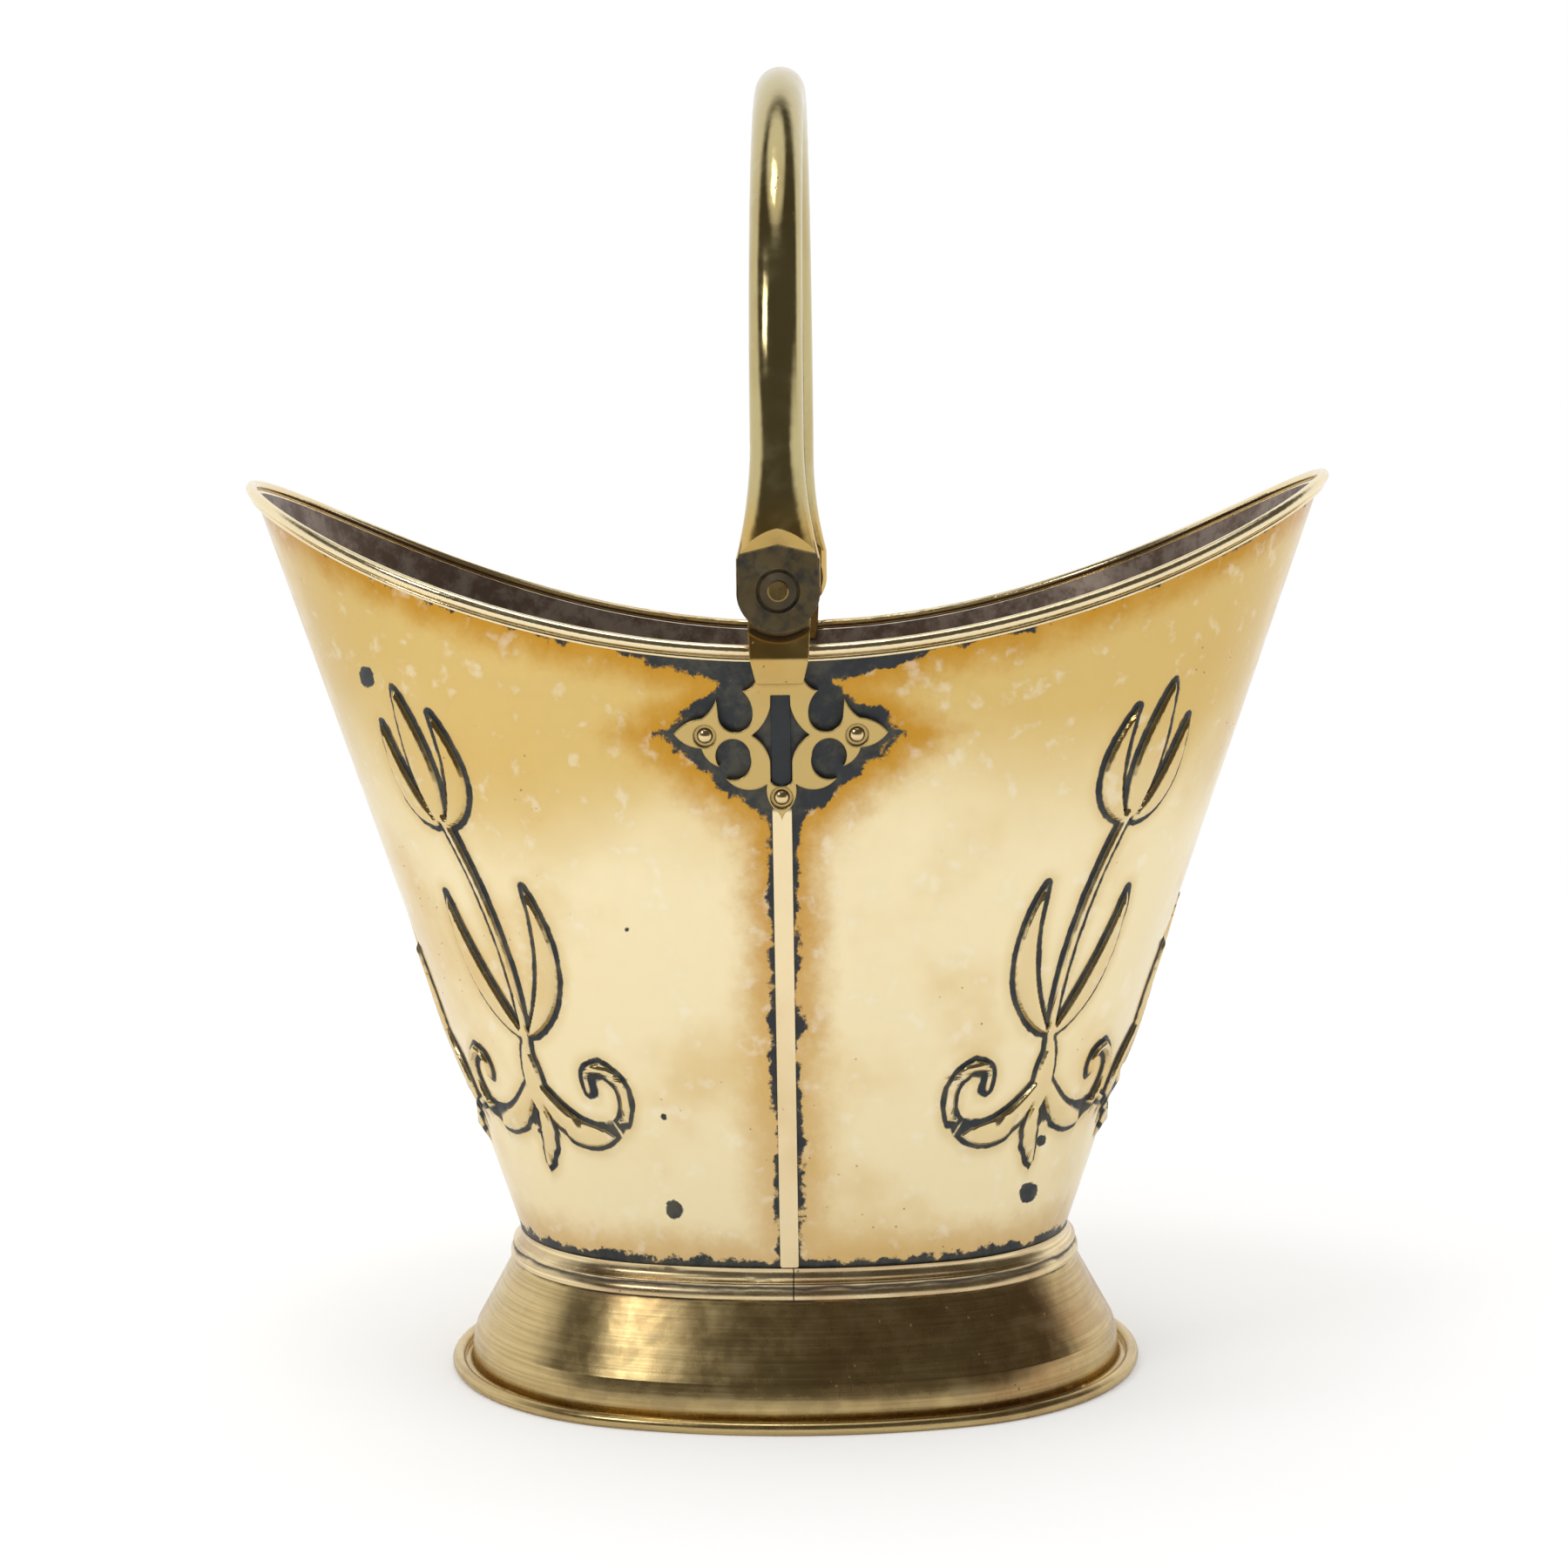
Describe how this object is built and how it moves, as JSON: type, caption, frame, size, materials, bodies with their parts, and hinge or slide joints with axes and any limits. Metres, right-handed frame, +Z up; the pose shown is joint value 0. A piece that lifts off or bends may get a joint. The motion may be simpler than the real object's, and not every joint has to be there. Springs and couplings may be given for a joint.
{
  "type": "log bucket",
  "caption": "Oval brass bucket for logs or coal, with a saddle-shaped rim, a flared foot, riveted strapwork brackets and a swing handle.",
  "frame": {"origin": "on the floor under the middle of the bucket", "axes": "+X along the long side of the oval, +Y from front to back along the handle's pivots, +Z up"},
  "size_m": [0.3672, 0.2462, 0.4424],
  "materials": {
    "body_brass": "polished sheet with amber staining and dark patina in the corners",
    "rim_brass": "polished",
    "foot_brass": "tarnished, brushed sideways",
    "handle_brass": "polished",
    "cast_brass": "filed and polished casting",
    "pin_brass": "polished, dark in the recesses"
  },
  "bodies": {
    "bucket": {"body_left": "body_brass", "body_right": "body_brass", "rim_roll_left": "rim_brass", "rim_roll_right": "rim_brass", "rim_bead_left": "rim_brass", "rim_bead_right": "rim_brass", "base_plate": "foot_brass", "foot_skirt": "foot_brass", "foot_collar": "rim_brass", "foot_wire": "foot_brass", "seam_strip_front": "rim_brass", "seam_strip_back": "rim_brass", "bracket_front": "cast_brass", "bracket_back": "cast_brass", "pivot_pin_front": "pin_brass", "pivot_pin_back": "pin_brass", "pivot_washer_front": "pin_brass", "pivot_washer_back": "pin_brass", "rivet_front_left": "pin_brass", "rivet_back_left": "pin_brass", "rivet_front_right": "pin_brass", "rivet_back_right": "pin_brass", "rivet_front_lower": "pin_brass", "rivet_back_lower": "pin_brass"},
    "handle": {"handle": "handle_brass"}
  },
  "joints": [
    {"name": "handle_swing", "type": "hinge", "parent": "bucket", "child": "handle", "pos_m": [0, 0, 0.2703], "axis": [0, 1, 0], "range_deg": [-80, 80]}
  ]
}
